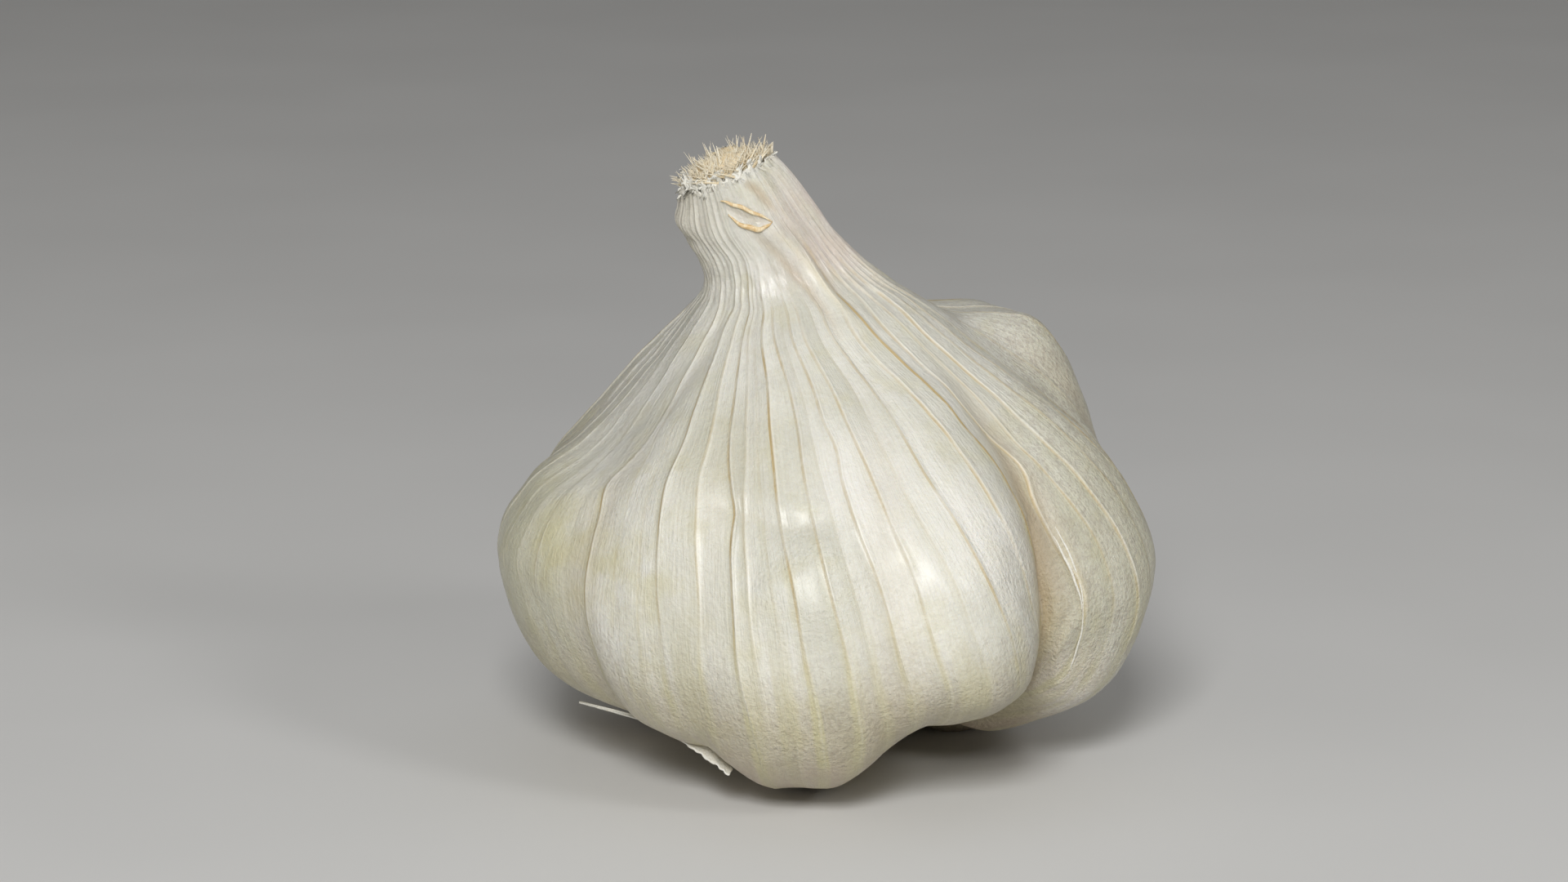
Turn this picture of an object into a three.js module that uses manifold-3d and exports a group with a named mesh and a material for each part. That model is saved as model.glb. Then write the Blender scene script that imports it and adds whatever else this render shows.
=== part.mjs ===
// A whole garlic bulb, as cured and trimmed for the kitchen: cloves packed round a stalk in a dry, ribbed skin.
// The skin draws in at the top to a neck that leans to the left, cut across to show the stalk's tan fibres.
// Underneath is the root plate with its trimmed roots. Millimetres, +Z up, the front is -Y.
import * as THREE from "three";
import { mergeVertices } from "three/addons/utils/BufferGeometryUtils.js";
import Module from "manifold-3d";

// Each clove under the skin: the azimuth of its crest in degrees from the front towards the right, and then
// [radius, height] of its crest at the foot, at the belly and at the shoulder.
// Next comes how deep the skin sinks between it and the next clove, and where, as a share of the way there at the
// foot and at the belly.
const CLOVES = [
  { at: -6, foot: [12.8, -0.2], belly: [31.0, 13.2], shoulder: [20.0, 35.5], sink: 1.1, split: [0.52, 0.52] },
  { at: 28, foot: [18.0, 7.0], belly: [32.2, 15.0], shoulder: [21.0, 35.5], sink: 5.8, split: [0.62, 0.43] },
  { at: 73, foot: [18.5, 3.1], belly: [31.8, 18.4], shoulder: [23.4, 33.4], sink: 3.0, split: [0.5, 0.5] },
  { at: 119, foot: [16.0, -0.2], belly: [29.2, 19.0], shoulder: [21.3, 40.3], sink: 2.4, split: [0.5, 0.5] },
  { at: 161, foot: [15.5, 1.4], belly: [29.0, 18.0], shoulder: [20.5, 37.5], sink: 2.4, split: [0.5, 0.5] },
  { at: 203, foot: [15.0, 1.8], belly: [28.5, 17.5], shoulder: [21.0, 36.0], sink: 2.6, split: [0.5, 0.5] },
  { at: 245, foot: [16.0, -0.2], belly: [30.0, 18.0], shoulder: [22.0, 33.5], sink: 1.8, split: [0.5, 0.5] },
  { at: 285, foot: [17.0, 4.6], belly: [31.7, 20.4], shoulder: [22.0, 31.9], sink: 1.7, split: [0.6, 0.6] },
  { at: 327, foot: [17.0, 3.3], belly: [30.1, 16.8], shoulder: [22.3, 34.2], sink: 0.5, split: [0.4, 0.4] },
];
// How much of the sink each ring of a clove takes, and how much the skin rises there between two clove feet.
const SINK_SHARE = [0.35, 0.8, 1.15, 1.0, 0.75, 0.45];
const RISE_SHARE = [0.3, 0.5, 0.2, 0, 0, 0];

// The neck's rings from the collar up to the cut rim: centre x, centre y, radius, height.
const NECK = [
  [-0.9, 0.0, 12.5, 42.2],
  [-3.2, -0.2, 8.2, 45.8],
  [-5.3, -0.6, 6.6, 48.8],
  [-7.35, -1.2, 6.15, 51.8],
  [-8.6, -1.8, 5.1, 54.8],
  [-9.3, -2.2, 4.3, 56.4],
];
const RIM_SLOPE = 0.36; // the cut rises to the right by this much per millimetre
const RIM_JAG = 0.35; // how far the torn rim stands above and below the cut
const SOCKET = { wall: 1.0, depth: 2.2 }; // the skin's thickness at the rim, and how far down the stalk shows

// The root plate sits in a dish that the skin leaves open underneath.
const PLATE = { radius: 6.0, height: 2.8, dish: 1.2, dishRadius: 5.85 };
const ROOTS = { count: 44, radius: 0.42, reach: 5.2, longest: 1.5, sides: 5 };

// Ribs, which are the skin's veins: the front ones as they run on this bulb, the rest evenly spread round the back.
const FRONT_RIBS = [
  -88, -79.5, -71, -60.5, -48.5, -41, -35, -29.5, -22, -14.3, -10.8, 0.3, 4.5, 13.2, 19, 29.5, 35.6, 44, 50, 57.5,
  63.5, 70, 77, 84,
];
const BACK_RIBS = 21;
const RIB = { height: 0.34, flank: 0.12 }; // flank is a share of the way to the next rib
const NECK_PLEAT = 0.42; // a rib's height on the neck
// Degrees that ribs turn on their way up because the neck leans, and how far they turn back on the neck itself.
const FAN = { even: 19, lean: 14, back: 12 };
const FAN_ROWS = [3.2, 7.6];
const FAN_BACK_ROWS = [7.8, 9.4];
const STEPS = [2, 2, 3, 3, 3, 3, 3, 3, 2, 2, 1, 1]; // rows of faces between one ring and the next

// The stalk's cut fibres.
const FIBRES = { count: 76, radius: 0.32, longest: 3.0, spread: 0.7 };

// Torn strips of the outermost skin. A strip follows the skin from [azimuth, row] to [azimuth, row], where rows
// count rings up from the root plate, and bows by so many rows in between. It is rooted at its start and stands
// off by lift at its free end.
const STRIPS = [
  { from: [-38, 1.95], to: [-66, 2.65], bow: 0, width: 1.9, lift: 1.0 },
  { from: [-40, 1.75], to: [-19, 1.6], bow: 0, width: 2.6, lift: 1.1 },
  { from: [-88, 4.25], to: [-90, 3.85], bow: 0, width: 0.9, lift: 0.6 },
];
const STRIP = { thickness: 0.6, steps: 7, rootDepth: 0.9 };
// The small tear on the front of the neck: its two raised lips, in the same terms.
const LIPS = [
  { from: [-13, 10.98], to: [21, 10.08], bow: 0.06, width: 0.7, lift: 0.4 },
  { from: [-10, 10.5], to: [21, 10.04], bow: -0.3, width: 0.7, lift: 0.4 },
];
const GAP = 0.3; // clearance between one piece and the next

const DEGREE = Math.PI / 180;
const RINGS = 1 + SINK_SHARE.length + NECK.length;
const TOP_ROW = RINGS - 1;
const COLLAR_ROW = 1 + SINK_SHARE.length;

const mix = (a, b, s) => a + (b - a) * s;
const ease = (s) => THREE.MathUtils.smoothstep(s, 0, 1);

// A repeatable draw between 0 and 1 for the nth thing of a kind.
function draw(n, kind) {
  const v = Math.sin(n * 12.9898 + kind * 78.233) * 43758.5453;
  return v - Math.floor(v);
}

// The six rings of one clove's crest, from the inside of its foot up to its shoulder, as [radius, height].
function crestRings({ foot, belly, shoulder }) {
  return [
    [foot[0] * 0.66, foot[1] + 0.7],
    foot,
    [mix(foot[0], belly[0], 0.72), mix(foot[1], belly[1], 0.34)],
    belly,
    [mix(shoulder[0], belly[0], 0.7), mix(belly[1], shoulder[1], 0.56)],
    shoulder,
  ];
}
const CRESTS = CLOVES.map(crestRings);

// The clove at or before an azimuth, the next one, and the plain share of the way between their crests.
function cloveAt(azimuth) {
  const first = CLOVES[0].at;
  const a = ((((azimuth - first) % 360) + 360) % 360) + first;
  let i = CLOVES.length - 1;
  while (CLOVES[i].at > a) i -= 1;
  const next = (i + 1) % CLOVES.length;
  const end = next ? CLOVES[next].at : first + 360;
  return { i, next, straight: (a - CLOVES[i].at) / (end - CLOVES[i].at) };
}

// Every ring's centre, radius and height at one azimuth.
function meridian(azimuth) {
  const { i, next, straight } = cloveAt(azimuth);
  const { sink, split } = CLOVES[i];
  const rings = [{ x: 0, y: 0, r: PLATE.radius, z: PLATE.height }];
  SINK_SHARE.forEach((shareOfSink, k) => {
    const parting = mix(split[0], split[1], THREE.MathUtils.clamp((k - 1) / 2, 0, 1));
    const before = straight < parting;
    const share = before ? (0.5 * straight) / parting : 1 - (0.5 * (1 - straight)) / (1 - parting);
    const across = ease(share);
    const step = ease((share - 0.2) / 0.6); // heights stay level over each crest
    const valley = sink * Math.max(0, 1 - Math.hypot(2 * share - 1, 0.09)) ** 1.9;
    const [ra, za] = CRESTS[i][k];
    const [rb, zb] = CRESTS[next][k];
    rings.push({
      x: 0,
      y: 0,
      r: mix(ra, rb, across) - valley * shareOfSink,
      z: mix(za, zb, step) + valley * RISE_SHARE[k],
    });
  });
  NECK.forEach(([x, y, r, z], k) => {
    const slope = (RIM_SLOPE * k) / (NECK.length - 1);
    rings.push({ x, y, r, z: z + slope * r * Math.sin(azimuth * DEGREE) });
  });
  return rings;
}

// A smooth curve through four values, between the middle two.
function through(p0, p1, p2, p3, s) {
  const bend = 2 * p0 - 5 * p1 + 4 * p2 - p3;
  return 0.5 * (2 * p1 + (p2 - p0) * s + bend * s * s + (3 * p1 - p0 - 3 * p2 + p3) * s * s * s);
}

// A point of the bare skin at an azimuth and a row, raised by some height off the surface's round.
function skinPoint(azimuth, row, raise = 0) {
  const rings = meridian(azimuth);
  const at = Math.min(Math.floor(row), TOP_ROW - 1);
  const value = (key) => {
    const p1 = rings[at][key];
    const p2 = rings[at + 1][key];
    const p0 = at > 0 ? rings[at - 1][key] : 2 * p1 - p2;
    const p3 = at + 2 <= TOP_ROW ? rings[at + 2][key] : 2 * p2 - p1;
    return through(p0, p1, p2, p3, row - at);
  };
  const r = value("r") + raise;
  const point = new THREE.Vector3(
    value("x") + r * Math.sin(azimuth * DEGREE),
    value("y") - r * Math.cos(azimuth * DEGREE),
    value("z"),
  );
  point.z = Math.max(point.z, 0); // the three lowest feet press flat where they carry the bulb
  return point;
}

// The skin's outward direction at an azimuth and a row.
function skinNormal(azimuth, row) {
  const up = skinPoint(azimuth, row + 0.05).sub(skinPoint(azimuth, row - 0.05));
  const round = skinPoint(azimuth + 0.5, row).sub(skinPoint(azimuth - 0.5, row));
  return round.cross(up).normalize();
}

// Where a rib that starts at an azimuth on the belly has turned to by some row.
function fanned(azimuth, row) {
  const share = (rows) => THREE.MathUtils.smoothstep(row, ...rows);
  const turn = (FAN.even + FAN.lean * Math.sin(azimuth * DEGREE)) * share(FAN_ROWS) - FAN.back * share(FAN_BACK_ROWS);
  return azimuth - Math.cos(azimuth * DEGREE) * turn;
}

// The ribs all the way round, with how strongly each stands out.
function ribs() {
  const first = FRONT_RIBS[0];
  const last = FRONT_RIBS[FRONT_RIBS.length - 1];
  const pitch = (first + 360 - last) / (BACK_RIBS + 1);
  const back = Array.from({ length: BACK_RIBS }, (_, k) => last + (k + 1 + 0.3 * (draw(k, 1) - 0.5)) * pitch);
  return [...FRONT_RIBS, ...back].map((at, k) => ({ at, strength: 0.6 + 0.6 * draw(k, 2) }));
}

// The columns of the skin's mesh: each rib's crest between its two flanks, with a flat panel to the next rib.
function columns() {
  const all = ribs();
  return all.flatMap(({ at, strength }, k) => {
    const before = k ? all[k - 1].at : all[all.length - 1].at - 360;
    const after = k + 1 < all.length ? all[k + 1].at : all[0].at + 360;
    return [
      { at: at - RIB.flank * (at - before), rib: 0 },
      { at, rib: strength },
      { at: at + RIB.flank * (after - at), rib: 0 },
    ];
  });
}

// How far a column stands off the bare skin at a row.
function relief(column, row) {
  const onNeck = ease((row - COLLAR_ROW + 1) / 2);
  const fade = ease((row - 0.6) / 1.6); // flat over the feet that it stands on
  return fade * column.rib * mix(RIB.height, NECK_PLEAT, onNeck);
}

// A closed mesh from rows of points, each row a loop in the same order, with a point at each end.
function closedLoft(start, rows, end) {
  const points = [start, ...rows.flat(), end];
  const n = rows[0].length;
  const index = [];
  for (let c = 0; c < n; c += 1) {
    const d = (c + 1) % n;
    index.push(0, 1 + d, 1 + c);
    for (let r = 0; r + 1 < rows.length; r += 1) {
      const low = 1 + r * n;
      const high = low + n;
      index.push(low + c, low + d, high + d, low + c, high + d, high + c);
    }
    const top = 1 + (rows.length - 1) * n;
    index.push(top + c, top + d, points.length - 1);
  }
  const geometry = new THREE.BufferGeometry().setFromPoints(points);
  geometry.setIndex(index);
  return geometry;
}

// A point on the neck's cut, at a radius from its centre and a height above or below the cut.
function cutPoint(azimuth, radius, lift) {
  const [x, y, , z] = NECK[NECK.length - 1];
  const across = radius * Math.sin(azimuth * DEGREE);
  const back = radius * Math.cos(azimuth * DEGREE);
  return new THREE.Vector3(x + across - RIM_SLOPE * lift, y - back, z + RIM_SLOPE * across + lift);
}

// The whole skin: dish underneath, feet, belly, shoulders, neck, torn rim and the socket that the stalk fills.
function skinGeometry() {
  const sides = columns();
  const rowsAt = STEPS.flatMap((steps, ring) => Array.from({ length: steps }, (_, k) => ring + k / steps));
  rowsAt.push(TOP_ROW);
  const rows = rowsAt.map((row) => sides.map((c) => skinPoint(fanned(c.at, row), row, relief(c, row))));
  const rimRadius = NECK[NECK.length - 1][2];
  rows[rows.length - 1].forEach((point, k) => {
    point.z += RIM_JAG * (2 * draw(k, 3) - 1);
  });
  const dish = sides.map(({ at }) => new THREE.Vector3(
    PLATE.dishRadius * Math.sin(at * DEGREE),
    -PLATE.dishRadius * Math.cos(at * DEGREE),
    PLATE.height + PLATE.dish,
  ));
  const inner = (lift) => sides.map(({ at }) => cutPoint(fanned(at, TOP_ROW), rimRadius - SOCKET.wall, lift));
  return closedLoft(
    new THREE.Vector3(0, 0, PLATE.height + PLATE.dish),
    [dish, ...rows, inner(-0.1), inner(-SOCKET.depth)],
    cutPoint(0, 0, -SOCKET.depth),
  );
}

// A strip of torn skin, rooted in the skin at its start and lifting clear of it towards a ragged end.
function stripGeometry({ from, to, bow, width, lift }, n) {
  const place = (s) => [mix(from[0], to[0], s), mix(from[1], to[1], s) + 4 * bow * s * (1 - s)];
  const loop = (s) => {
    const [azimuth, row] = place(s);
    const centre = skinPoint(azimuth, row);
    const out = skinNormal(azimuth, row);
    const ahead = skinPoint(...place(s + 0.05)).sub(centre).normalize();
    const across = new THREE.Vector3().crossVectors(out, ahead).normalize();
    const stand = mix(-STRIP.rootDepth, lift, Math.sqrt(s));
    const half = 0.5 * width * mix(1, 0.45, s * s) * (1 + 0.25 * (draw(Math.round(s * 97), 5 + n) - 0.5));
    const corner = (side, height) => {
      const point = centre.clone().addScaledVector(across, side * half).addScaledVector(out, stand + height);
      point.z = Math.max(point.z, 0.25);
      return point;
    };
    return [corner(-1, 0), corner(1, 0), corner(1, STRIP.thickness), corner(-1, STRIP.thickness)];
  };
  const rows = Array.from({ length: STRIP.steps + 1 }, (_, k) => loop(k / STRIP.steps));
  const middle = (row) => row.reduce((sum, p) => sum.add(p), new THREE.Vector3()).divideScalar(row.length);
  return closedLoft(middle(rows[0]), rows, middle(rows[rows.length - 1]));
}

// A thin spike with a few sides from a root to a tip, thinning as it goes.
function spikeGeometry(root, tip, radius, sides, tipShare) {
  const along = tip.clone().sub(root).normalize();
  const u = new THREE.Vector3(1, 0, 0).cross(along).normalize();
  const v = along.clone().cross(u);
  const ring = (centre, r) => Array.from({ length: sides }, (_, k) => {
    const a = (2 * Math.PI * k) / sides;
    return centre.clone().addScaledVector(u, r * Math.cos(a)).addScaledVector(v, r * Math.sin(a));
  });
  return closedLoft(root, [ring(root, radius), ring(tip, radius * tipShare)], tip);
}

// The stalk where the cut shows it: a plug in the neck's socket with fibres standing up from it all over.
function stalkGeometries() {
  const radius = NECK[NECK.length - 1][2] - SOCKET.wall - GAP;
  const around = Array.from({ length: 20 }, (_, k) => k * 18);
  const ring = (r, lift) => around.map((a) => cutPoint(a, r, lift));
  const floor = GAP - SOCKET.depth;
  const plug = closedLoft(
    cutPoint(0, 0, floor),
    [ring(radius, floor), ring(radius, -0.2), ring(radius * 0.7, 0.25)],
    cutPoint(0, 0, 0.45),
  );
  const fibres = Array.from({ length: FIBRES.count }, (_, k) => {
    const azimuth = k * 137.508;
    const r = (radius - FIBRES.radius) * Math.sqrt((k + 0.5) / FIBRES.count);
    const root = cutPoint(azimuth, r, -0.9);
    const length = FIBRES.longest * mix(0.4, 1, draw(k, 7)) * (1 - 0.45 * (r / radius) ** 2);
    const lean = (FIBRES.spread * r) / radius + 0.25 * draw(k, 8);
    const tip = cutPoint(azimuth + 40 * (draw(k, 9) - 0.5), r + lean, length);
    return spikeGeometry(root, tip, FIBRES.radius, 3, 0.3);
  });
  return [plug, ...fibres];
}

// The root plate: a low boss with the stubs of its trimmed roots.
function rootGeometries() {
  const radius = PLATE.dishRadius - GAP;
  const around = Array.from({ length: 24 }, (_, k) => k * 15);
  const ring = (r, z) => around.map((a) => new THREE.Vector3(r * Math.sin(a * DEGREE), -r * Math.cos(a * DEGREE), z));
  const top = PLATE.height + PLATE.dish - GAP;
  const boss = closedLoft(
    new THREE.Vector3(0, 0, 2.1),
    [ring(radius * 0.6, 1.9), ring(radius * 0.92, 2.3), ring(radius, 2.9), ring(radius, top)],
    new THREE.Vector3(0, 0, top),
  );
  const stubs = Array.from({ length: ROOTS.count }, (_, k) => {
    const azimuth = k * 137.508 * DEGREE;
    const r = ROOTS.reach * Math.sqrt((k + 0.5) / ROOTS.count);
    const root = new THREE.Vector3(r * Math.sin(azimuth), -r * Math.cos(azimuth), 2.9);
    const reach = r + 0.5 * draw(k, 11);
    const low = 2.0 - ROOTS.longest * mix(0.3, 1, draw(k, 12));
    const tip = new THREE.Vector3(reach * Math.sin(azimuth + 0.1), -reach * Math.cos(azimuth + 0.1), low);
    return spikeGeometry(root, tip, ROOTS.radius, ROOTS.sides, 0.85);
  });
  return [boss, ...stubs];
}

const wasm = await Module();
wasm.setup();

// One solid from closed geometries, joined where they meet.
function joined(geometries) {
  return geometries.map((geometry) => {
    const merged = mergeVertices(geometry, 1e-4);
    const made = new wasm.Manifold(new wasm.Mesh({
      numProp: 3,
      vertProperties: merged.attributes.position.array,
      triVerts: new Uint32Array(merged.index.array),
    }));
    return made;
  }).reduce((whole, piece) => whole.add(piece));
}

// A named mesh of a solid, in its own finish.
function meshOf(name, solid, finish) {
  const { vertProperties, triVerts } = solid.getMesh();
  const geometry = new THREE.BufferGeometry();
  geometry.setAttribute("position", new THREE.BufferAttribute(vertProperties, 3));
  geometry.setIndex(new THREE.BufferAttribute(triVerts, 1));
  geometry.computeVertexNormals();
  const mesh = new THREE.Mesh(geometry, new THREE.MeshStandardMaterial({ metalness: 0, ...finish }));
  mesh.name = name;
  return mesh;
}

const strips = [...STRIPS, ...LIPS].map(stripGeometry);
const bulb = new THREE.Group();
bulb.add(
  meshOf("bulb", joined([skinGeometry(), ...strips]), { color: 0xe6e2d3, roughness: 0.42 }),
  meshOf("neck_stalk", joined(stalkGeometries()), { color: 0xd8c394, roughness: 0.8 }),
  meshOf("root_plate", joined(rootGeometries()), { color: 0xb59a72, roughness: 0.85 }),
);
// The origin is below the middle of the bulb's outline, on the surface that it stands on.
const box = new THREE.Box3().setFromObject(bulb);
bulb.position.set(-(box.min.x + box.max.x) / 2, -(box.min.y + box.max.y) / 2, -box.min.z);

export default bulb;
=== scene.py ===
import math

import bpy
import numpy as np
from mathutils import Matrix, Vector


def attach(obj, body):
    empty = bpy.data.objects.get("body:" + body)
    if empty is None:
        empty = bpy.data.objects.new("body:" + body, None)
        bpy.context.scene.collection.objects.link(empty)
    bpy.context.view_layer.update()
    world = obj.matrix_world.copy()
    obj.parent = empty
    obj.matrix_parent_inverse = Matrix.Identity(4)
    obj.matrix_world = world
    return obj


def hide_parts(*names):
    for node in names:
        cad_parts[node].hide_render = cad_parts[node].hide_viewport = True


bl_info = {
    "name": "Garlic Bulb",
    "version": (1, 0, 0),
    "blender": (4, 5, 0),
    "location": "View3D > Sidebar > Garlic",
    "description": "Models a garlic bulb with its papery skin, cut neck and root plate",
    "category": "Object",
}

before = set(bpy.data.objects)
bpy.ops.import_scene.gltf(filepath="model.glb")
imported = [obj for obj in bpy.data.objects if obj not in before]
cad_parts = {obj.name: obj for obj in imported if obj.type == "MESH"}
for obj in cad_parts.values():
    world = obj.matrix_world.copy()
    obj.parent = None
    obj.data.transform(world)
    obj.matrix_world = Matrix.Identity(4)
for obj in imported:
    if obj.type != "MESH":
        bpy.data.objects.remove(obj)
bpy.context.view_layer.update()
MM = 0.001

# The cloves under the skin: crest azimuth, then [radius, height] at the foot, belly and shoulder, then how deep the
# skin sinks before the next clove, and where, at the foot and at the belly.
CLOVES = [
    (-6, (12.8, -0.2), (31.0, 13.2), (20.0, 35.5), 1.1, (0.52, 0.52)),
    (28, (18.0, 7.0), (32.2, 15.0), (21.0, 35.5), 5.8, (0.62, 0.43)),
    (73, (18.5, 3.1), (31.8, 18.4), (23.4, 33.4), 3.0, (0.5, 0.5)),
    (119, (16.0, -0.2), (29.2, 19.0), (21.3, 40.3), 2.4, (0.5, 0.5)),
    (161, (15.5, 1.4), (29.0, 18.0), (20.5, 37.5), 2.4, (0.5, 0.5)),
    (203, (15.0, 1.8), (28.5, 17.5), (21.0, 36.0), 2.6, (0.5, 0.5)),
    (245, (16.0, -0.2), (30.0, 18.0), (22.0, 33.5), 1.8, (0.5, 0.5)),
    (285, (17.0, 4.6), (31.7, 20.4), (22.0, 31.9), 1.7, (0.6, 0.6)),
    (327, (17.0, 3.3), (30.1, 16.8), (22.3, 34.2), 0.5, (0.4, 0.4)),
]
SINK_SHARE = (0.35, 0.8, 1.15, 1.0, 0.75, 0.45)
RISE_SHARE = (0.3, 0.5, 0.2, 0, 0, 0)
NECK = np.array([
    (-0.9, 0.0, 12.5, 42.2),
    (-3.2, -0.2, 8.2, 45.8),
    (-5.3, -0.6, 6.6, 48.8),
    (-7.35, -1.2, 6.15, 51.8),
    (-8.6, -1.8, 5.1, 54.8),
    (-9.3, -2.2, 4.3, 56.4),
])
RIM_SLOPE = 0.36
PLATE_RADIUS, PLATE_HEIGHT, DISH_DEPTH, DISH_RADIUS = 6.0, 2.8, 1.2, 5.85
SOCKET_RADIUS, SOCKET_DEPTH = NECK[-1][2] - 1.0, 2.2
CENTRE = np.array((0.112, 1.54, 0.0))  # where the root plate's middle stands from the origin
TOP_ROW = 12
GOLDEN_ANGLE = 137.508

# The veins on the front as they run on this bulb: azimuth at the belly, then how strong each is above the belly,
# below it, and in amber. The rest are spread round the back.
FRONT_VEINS = np.array([
    (-88, 0.5, 0.5, 0.2), (-79.5, 0.5, 0.5, 0.2), (-71, 0.45, 0.4, 0.2), (-65.5, 0.15, 0.5, 0.1),
    (-60.5, 0.45, 0.3, 0.3), (-54, 0.1, 0.3, 0.1), (-46.8, 0.9, 0.8, 1.1), (-40, 0.1, 0.35, 0.4),
    (-33.8, 0.05, 0.4, 0.5), (-29, 1.0, 0.6, 0.6), (-20.8, 0.55, 0.4, 0.5), (-13, 1.0, 1.0, 0.8),
    (-9.2, 0.4, 0.3, 0.4), (-5, 0.05, 0.2, 0.4), (-0.6, 0.85, 0.9, 1.0), (6.6, 0.8, 0.5, 0.6),
    (11, 0.05, 0.2, 0.3), (15.8, 0.9, 0.35, 0.6), (22, 0.9, 0.3, 0.5), (28.5, 0.1, 0.2, 0.4),
    (34.5, 1.0, 0.3, 0.6), (44, 0.9, 0.4, 0.6), (50.4, 1.2, 0.5, 2.2), (53.3, 0.0, 0.0, 0.0),
    (56.2, 0.8, 1.0, 0.8), (62.5, 0.8, 0.5, 0.6), (68, 1.0, 0.6, 0.7), (73.5, 0.8, 0.5, 0.5),
    (79, 0.8, 0.5, 0.6), (84, 1.0, 0.6, 0.5),
])
BACK_VEINS = 21
COLUMNS_PER_VEIN = 9
# Where veins jog aside: which vein, the row, by how many degrees, and over how many rows.
JOGS = (
    (6, 5.5, -3.0, 0.3), (6, 6.15, 3.6, 0.35), (9, 6.1, 1.5, 0.3), (10, 6.1, 1.6, 0.35), (11, 5.3, 1.4, 0.25),
    (17, 5.85, 1.4, 0.2), (22, 5.55, 1.6, 0.25), (22, 7.9, -1.8, 0.5), (24, 5.6, 3.5, 0.35),
)
# Degrees that veins turn on their way up because the neck leans, and how far they turn back on the neck itself.
FAN_EVEN, FAN_LEAN, FAN_BACK = 19, 14, 12


def ease(s):
    s = np.clip(s, 0, 1)
    return s * s * (3 - 2 * s)


def draw(n, kind):
    """A repeatable draw between 0 and 1 for the nth thing of a kind."""
    v = np.sin(np.asarray(n, float) * 12.9898 + kind * 78.233) * 43758.5453
    return v - np.floor(v)


def bell(distance, width):
    return np.exp(-((distance / width) ** 2))


def unit(vectors):
    return vectors / np.linalg.norm(vectors, axis=-1, keepdims=True)


def half_turn(degrees):
    """The same direction, between -180 and 180 degrees."""
    return (degrees + 180) % 360 - 180


def veins():
    """Every vein's azimuth all the way round, ending with the first one again, and its three strengths."""
    first, last = FRONT_VEINS[0, 0], FRONT_VEINS[-1, 0]
    pitch = (first + 360 - last) / (BACK_VEINS + 1)
    k = np.arange(BACK_VEINS)
    back = last + (k + 1 + 0.3 * (draw(k, 1) - 0.5)) * pitch
    strengths = np.stack([0.6 + 0.6 * draw(k, 2), 0.3 + 0.5 * draw(k, 3), 0.3 + 0.7 * draw(k, 5)], 1)
    return np.array([*FRONT_VEINS[:, 0], *back, first + 360]), np.concatenate([FRONT_VEINS[:, 1:], strengths])


VEINS, STRENGTHS = veins()
VEIN_COUNT = len(STRENGTHS)


# ---- the skin's surface ----


def meridian(azimuth):
    """Every ring's centre x, centre y, radius and height at the azimuths."""
    at = np.array([c[0] for c in CLOVES], float)
    a = (azimuth - at[0]) % 360 + at[0]
    i = np.searchsorted(at, a, side="right") - 1
    after = (i + 1) % len(at)
    end = np.where(after == 0, at[0] + 360, at[after])
    straight = (a - at[i]) / (end - at[i])
    sink, split = np.array([c[4] for c in CLOVES])[i], np.array([c[5] for c in CLOVES])[i]
    crests = np.array([crest_rings(*c[1:4]) for c in CLOVES])
    rings = np.zeros((TOP_ROW + 1, 4) + a.shape)
    rings[0, 2], rings[0, 3] = PLATE_RADIUS, PLATE_HEIGHT
    for k in range(6):
        parting = split[..., 0] + (split[..., 1] - split[..., 0]) * min(max((k - 1) / 2, 0), 1)
        share = np.where(
            straight < parting, 0.5 * straight / parting, 1 - 0.5 * (1 - straight) / (1 - parting)
        )
        across, step = ease(share), ease((share - 0.2) / 0.6)
        valley = sink * np.clip(1 - np.hypot(2 * share - 1, 0.09), 0, None) ** 1.9
        one, two = crests[i, k], crests[after, k]
        rings[k + 1, 2] = one[..., 0] + (two - one)[..., 0] * across - valley * SINK_SHARE[k]
        rings[k + 1, 3] = one[..., 1] + (two - one)[..., 1] * step + valley * RISE_SHARE[k]
    for k, (x, y, r, z) in enumerate(NECK):
        lean = RIM_SLOPE * k / (len(NECK) - 1)
        rings[k + 7, 0], rings[k + 7, 1], rings[k + 7, 2] = x, y, r
        rings[k + 7, 3] = z + lean * r * np.sin(np.radians(azimuth))
    return rings


def crest_rings(foot, belly, shoulder):
    return [
        (foot[0] * 0.66, foot[1] + 0.7),
        foot,
        (foot[0] + (belly[0] - foot[0]) * 0.72, foot[1] + (belly[1] - foot[1]) * 0.34),
        belly,
        (shoulder[0] + (belly[0] - shoulder[0]) * 0.7, belly[1] + (shoulder[1] - belly[1]) * 0.56),
        shoulder,
    ]


def bare_skin(azimuth, row, stand=0.0):
    """Points of the smooth skin at azimuths and rows, in mm about the root plate's middle."""
    azimuth, row = np.broadcast_arrays(np.asarray(azimuth, float), np.asarray(row, float))
    rings = meridian(azimuth)
    at = np.clip(np.floor(row).astype(int), 0, TOP_ROW - 1)
    s = row - at

    def ring(k):
        return np.take_along_axis(rings, np.clip(k, 0, TOP_ROW)[None, None], axis=0)[0]

    p1, p2 = ring(at), ring(at + 1)
    p0 = np.where(at > 0, ring(at - 1), 2 * p1 - p2)
    p3 = np.where(at + 2 <= TOP_ROW, ring(at + 2), 2 * p2 - p1)
    bend = 2 * p0 - 5 * p1 + 4 * p2 - p3
    x, y, r, z = 0.5 * (2 * p1 + (p2 - p0) * s + bend * s**2 + (3 * p1 - p0 - 3 * p2 + p3) * s**3)
    turn = np.radians(azimuth)
    r = r + stand
    return np.stack([x + r * np.sin(turn), y - r * np.cos(turn), z], -1)


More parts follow.
